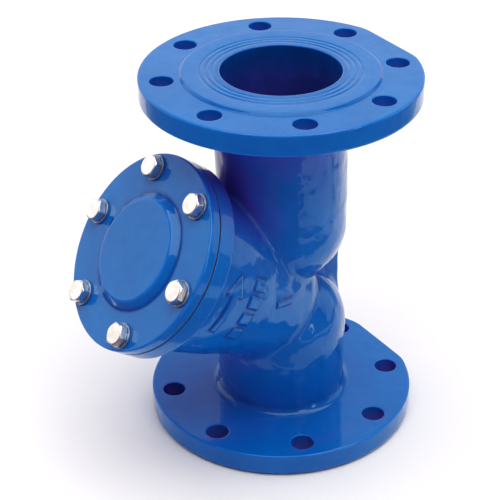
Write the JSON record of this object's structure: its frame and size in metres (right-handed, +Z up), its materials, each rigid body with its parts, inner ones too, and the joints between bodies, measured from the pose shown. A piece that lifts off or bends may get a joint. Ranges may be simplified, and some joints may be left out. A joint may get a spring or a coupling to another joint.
{
  "type": "flanged y strainer",
  "caption": "Flanged Y strainer for pipelines: a cast body with a straight bore, an inclined branch holding a removable cylindrical screen, and a bolted cover.",
  "frame": {"origin": "centre of the lower line face, on the pipe axis", "axes": "+Z up the pipe axis to the outlet face; -X is the side that the branch leans to; the XZ plane is the branch's plane"},
  "size_m": [0.2737, 0.215, 0.3],
  "materials": {
    "enamel": "glossy royal-blue enamel over a cast surface",
    "gasket": "matt compressed fibre sheet",
    "screen": "stainless sheet, lightly brushed",
    "mesh": "fine woven stainless wire",
    "hardware": "bright zinc plate"
  },
  "bodies": {
    "housing": {"body": "enamel"},
    "screen": {"screen_tube": "screen", "screen_seam": "screen", "screen_mesh": "mesh", "screen_seat_ring": "screen", "screen_end_ring": "screen"},
    "cover": {"cover": "enamel", "cover_gasket": "gasket"},
    "washer_1": {"washer_1": "hardware"},
    "bolt_1": {"bolt_1": "hardware"},
    "washer_2": {"washer_2": "hardware"},
    "bolt_2": {"bolt_2": "hardware"},
    "washer_3": {"washer_3": "hardware"},
    "bolt_3": {"bolt_3": "hardware"},
    "washer_4": {"washer_4": "hardware"},
    "bolt_4": {"bolt_4": "hardware"},
    "washer_5": {"washer_5": "hardware"},
    "bolt_5": {"bolt_5": "hardware"},
    "washer_6": {"washer_6": "hardware"},
    "bolt_6": {"bolt_6": "hardware"}
  },
  "joints": [
    {"name": "screen_pull", "type": "slide", "parent": "housing", "child": "screen", "axis": [-0.8192, 0, 0.5736], "range_m": [0, 0.13]},
    {"name": "cover_lift", "type": "slide", "parent": "screen", "child": "cover", "axis": [-0.8192, 0, 0.5736], "range_m": [0, 0.06]},
    {"name": "washer_1_rise", "type": "slide", "parent": "cover", "child": "washer_1", "axis": [-0.8192, 0, 0.5736], "range_m": [0, 0.00825]},
    {"name": "bolt_1_turn", "type": "hinge", "parent": "washer_1", "child": "bolt_1", "pos_m": [-0.09498, 0.02951, 0.23171], "axis": [-0.8192, 0, 0.5736], "range_deg": [0, 1981]},
    {"name": "washer_2_rise", "type": "slide", "parent": "cover", "child": "washer_2", "axis": [-0.8192, 0, 0.5736], "range_m": [0, 0.00825]},
    {"name": "bolt_2_turn", "type": "hinge", "parent": "washer_2", "child": "bolt_2", "pos_m": [-0.12625, 0.06491, 0.18705], "axis": [-0.8192, 0, 0.5736], "range_deg": [0, 1981]},
    {"name": "washer_3_rise", "type": "slide", "parent": "cover", "child": "washer_3", "axis": [-0.8192, 0, 0.5736], "range_m": [0, 0.00825]},
    {"name": "bolt_3_turn", "type": "hinge", "parent": "washer_3", "child": "bolt_3", "pos_m": [-0.15946, 0.0354, 0.13961], "axis": [-0.8192, 0, 0.5736], "range_deg": [0, 1981]},
    {"name": "washer_4_rise", "type": "slide", "parent": "cover", "child": "washer_4", "axis": [-0.8192, 0, 0.5736], "range_m": [0, 0.00825]},
    {"name": "bolt_4_turn", "type": "hinge", "parent": "washer_4", "child": "bolt_4", "pos_m": [-0.16142, -0.02951, 0.13682], "axis": [-0.8192, 0, 0.5736], "range_deg": [0, 1981]},
    {"name": "washer_5_rise", "type": "slide", "parent": "cover", "child": "washer_5", "axis": [-0.8192, 0, 0.5736], "range_m": [0, 0.00825]},
    {"name": "bolt_5_turn", "type": "hinge", "parent": "washer_5", "child": "bolt_5", "pos_m": [-0.13015, -0.06491, 0.18148], "axis": [-0.8192, 0, 0.5736], "range_deg": [0, 1981]},
    {"name": "washer_6_rise", "type": "slide", "parent": "cover", "child": "washer_6", "axis": [-0.8192, 0, 0.5736], "range_m": [0, 0.00825]},
    {"name": "bolt_6_turn", "type": "hinge", "parent": "washer_6", "child": "bolt_6", "pos_m": [-0.09693, -0.0354, 0.22892], "axis": [-0.8192, 0, 0.5736], "range_deg": [0, 1981]}
  ],
  "couplings": [
    {"joint": "bolt_1_turn", "follows": "washer_1_rise", "rad_per_m": 4188.8},
    {"joint": "bolt_2_turn", "follows": "washer_2_rise", "rad_per_m": 4188.8},
    {"joint": "bolt_3_turn", "follows": "washer_3_rise", "rad_per_m": 4188.8},
    {"joint": "bolt_4_turn", "follows": "washer_4_rise", "rad_per_m": 4188.8},
    {"joint": "bolt_5_turn", "follows": "washer_5_rise", "rad_per_m": 4188.8},
    {"joint": "bolt_6_turn", "follows": "washer_6_rise", "rad_per_m": 4188.8}
  ]
}
